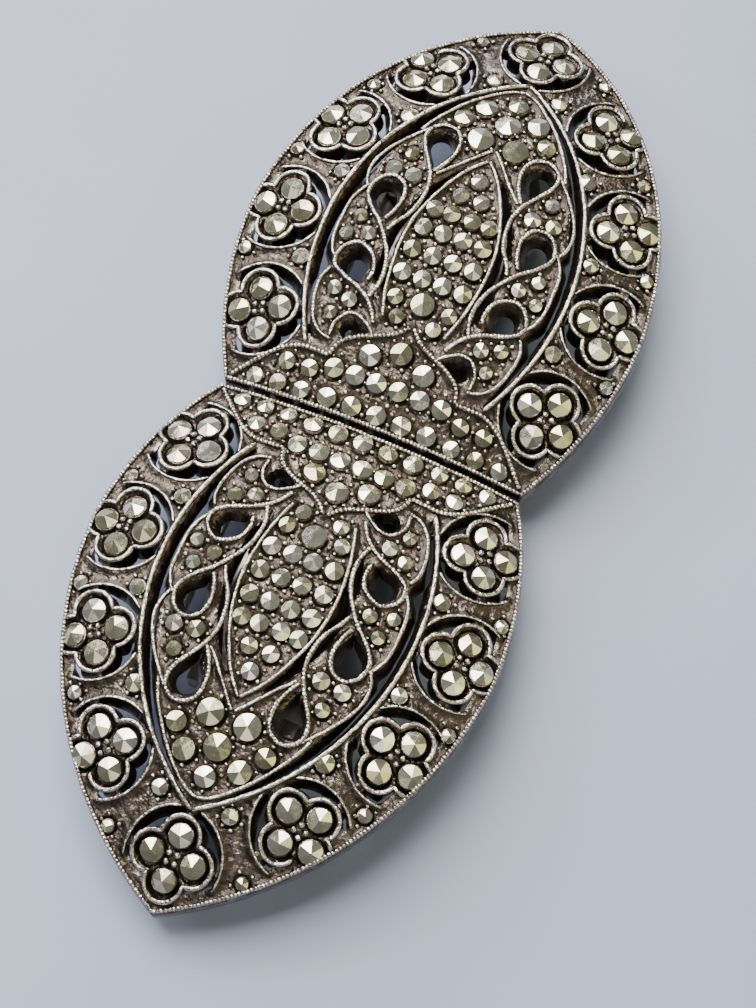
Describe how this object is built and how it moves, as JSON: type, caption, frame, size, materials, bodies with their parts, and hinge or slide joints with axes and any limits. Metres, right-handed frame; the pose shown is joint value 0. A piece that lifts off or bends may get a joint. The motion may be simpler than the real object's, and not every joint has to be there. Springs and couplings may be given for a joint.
{
  "type": "double clip brooch",
  "caption": "Pointed-oval double-clip brooch: two domed pierced clips set with faceted stones slide off a carrier with a pin.",
  "frame": {"origin": "middle of the seam between the clips in plan, on the plane that both spring flaps rest on", "axes": "+X along the brooch from the seam to the right clip's tip, +Y across it towards the pin, +Z out of the decorated front"},
  "size_m": [0.0784, 0.0326, 0.0099],
  "materials": {
    "oxidised_silver": "dark oxidised silver, worn bright on beads, wires and edges",
    "marcasite": "polished pointed facets, metallic grey with an olive cast",
    "back_silver": "satin silver, lightly tarnished",
    "steel_wire": "drawn bright wire"
  },
  "bodies": {
    "carrier": {"carrier_frame": "back_silver", "pin_hinge_block": "back_silver", "pin_rivet": "steel_wire", "catch_body": "back_silver"},
    "right_clip": {"right_front_plate": "oxidised_silver", "right_clip_bridge": "back_silver", "right_flap_pin": "steel_wire", "right_flap_spring": "steel_wire", "right_crown_stones": "marcasite", "right_centre_stones": "marcasite", "right_leaf_stones": "marcasite", "right_tip_cluster_stones": "marcasite", "right_rosette_stones": "marcasite", "right_border_stones": "marcasite"},
    "right_flap": {"right_clip_flap": "back_silver"},
    "left_clip": {"left_front_plate": "oxidised_silver", "left_clip_bridge": "back_silver", "left_flap_pin": "steel_wire", "left_flap_spring": "steel_wire", "left_crown_stones": "marcasite", "left_centre_stones": "marcasite", "left_leaf_stones": "marcasite", "left_tip_cluster_stones": "marcasite", "left_rosette_stones": "marcasite", "left_border_stones": "marcasite"},
    "left_flap": {"left_clip_flap": "back_silver"},
    "pin": {"pin_stem": "steel_wire"},
    "catch": {"catch_sleeve": "back_silver"}
  },
  "joints": [
    {"name": "right_clip_slide", "type": "slide", "parent": "carrier", "child": "right_clip", "axis": [1, 0, 0], "range_m": [0, 0.024]},
    {"name": "left_clip_slide", "type": "slide", "parent": "carrier", "child": "left_clip", "axis": [-1, 0, 0], "range_m": [0, 0.024]},
    {"name": "right_flap_hinge", "type": "hinge", "parent": "right_clip", "child": "right_flap", "pos_m": [0.007, 0, 0.00115], "axis": [0, 1, 0], "range_deg": [0, 35], "deforming": ["right_flap_spring"]},
    {"name": "left_flap_hinge", "type": "hinge", "parent": "left_clip", "child": "left_flap", "pos_m": [-0.007, 0, 0.00115], "axis": [0, -1, 0], "range_deg": [0, 35], "deforming": ["left_flap_spring"]},
    {"name": "pin_hinge", "type": "hinge", "parent": "carrier", "child": "pin", "pos_m": [-0.019, 0.0082, 0.0015], "axis": [0, 1, 0], "range_deg": [0, 90]},
    {"name": "catch_turn", "type": "hinge", "parent": "carrier", "child": "catch", "pos_m": [0.0193, 0.0082, 0.0015], "axis": [-1, 0, 0], "range_deg": [0, 70]}
  ]
}
